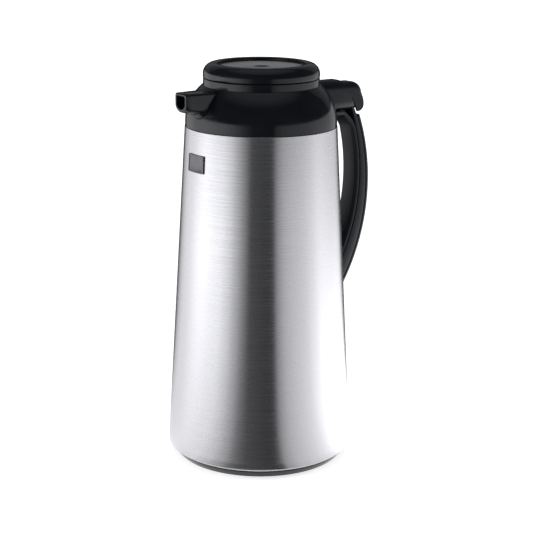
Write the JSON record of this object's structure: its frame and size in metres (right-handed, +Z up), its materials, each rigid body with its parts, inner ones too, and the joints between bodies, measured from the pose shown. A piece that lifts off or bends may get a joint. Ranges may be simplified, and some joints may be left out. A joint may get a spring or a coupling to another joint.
{
  "type": "thermal carafe",
  "caption": "Brushed steel, glass-lined thermal pour carafe with a black shoulder, spout, lock-turn lid, lever-opened stopper valve and side handle.",
  "frame": {"origin": "on the table plane, on the body's axis, in the middle of the bottom cap's boss", "axes": "+Z up along the body's axis, -X towards the spout, +X towards the handle"},
  "size_m": [0.175, 0.145, 0.31],
  "materials": {
    "brushed_steel": "brushed round the body, satin",
    "gloss_black": "polished moulding",
    "satin_black": "satin moulding",
    "plate_grey": "dark grey plate with a raised border",
    "silvered_glass": "silvered inside the vacuum space",
    "silicone": "matt",
    "inner_plastic": "matt moulding",
    "spring_steel": "bright drawn wire and turned steel"
  },
  "bodies": {
    "carafe": {"outer_shell": "brushed_steel", "base_ring": "gloss_black", "foot_pad": "silicone", "bottom_cap": "gloss_black", "liner_cushion": "silicone", "glass_liner": "silvered_glass", "liner_tip_seal": "silvered_glass", "neck_gasket": "silicone", "shoulder": "gloss_black", "spout": "gloss_black", "badge_plate": "plate_grey", "handle_frame": "satin_black", "handle_grip": "satin_black", "handle_cover": "satin_black", "handle_backing_plate": "spring_steel", "handle_foot_screw_1": "spring_steel", "handle_foot_screw_2": "spring_steel", "bracket_screw_1": "spring_steel", "bracket_screw_2": "spring_steel", "lever_pin": "spring_steel", "lever_spring": "spring_steel"},
    "lever": {"thumb_lever": "satin_black"},
    "stopper": {"stopper_body": "inner_plastic", "stopper_gasket": "silicone", "stopper_upper_seal": "silicone", "stem_guide": "inner_plastic", "stopper_hub": "inner_plastic", "hub_screw_1": "spring_steel", "hub_screw_2": "spring_steel", "hub_screw_3": "spring_steel", "valve_spring": "spring_steel"},
    "cap": {"lid_cap": "gloss_black", "lid_inlay": "satin_black"},
    "valve": {"lift_plate": "inner_plastic", "valve_stem": "inner_plastic", "stem_clip": "spring_steel", "valve_plug": "silicone"}
  },
  "joints": [
    {"name": "lever_press", "type": "hinge", "parent": "carafe", "child": "lever", "pos_m": [0.072, 0, 0.275], "axis": [0, 1, 0], "range_deg": [0, 6], "stiffness_Nm_per_rad": 1, "springref_deg": -3.44, "deforming": ["lever_spring"]},
    {"name": "lid_lift", "type": "slide", "parent": "carafe", "child": "stopper", "axis": [0, 0, 1], "range_m": [0, 0.06]},
    {"name": "cap_turn", "type": "hinge", "parent": "stopper", "child": "cap", "pos_m": [0, 0, 0.3], "axis": [0, 0, 1], "range_deg": [-50, 0]},
    {"name": "valve_lift", "type": "slide", "parent": "stopper", "child": "valve", "axis": [0, 0, 1], "range_m": [0, 0.0039], "stiffness_N_per_m": 10, "springref_m": -0.005, "deforming": ["valve_spring"]}
  ],
  "couplings": [
    {"joint": "valve_lift", "follows": "lever_press", "m_per_rad": 0.037}
  ]
}
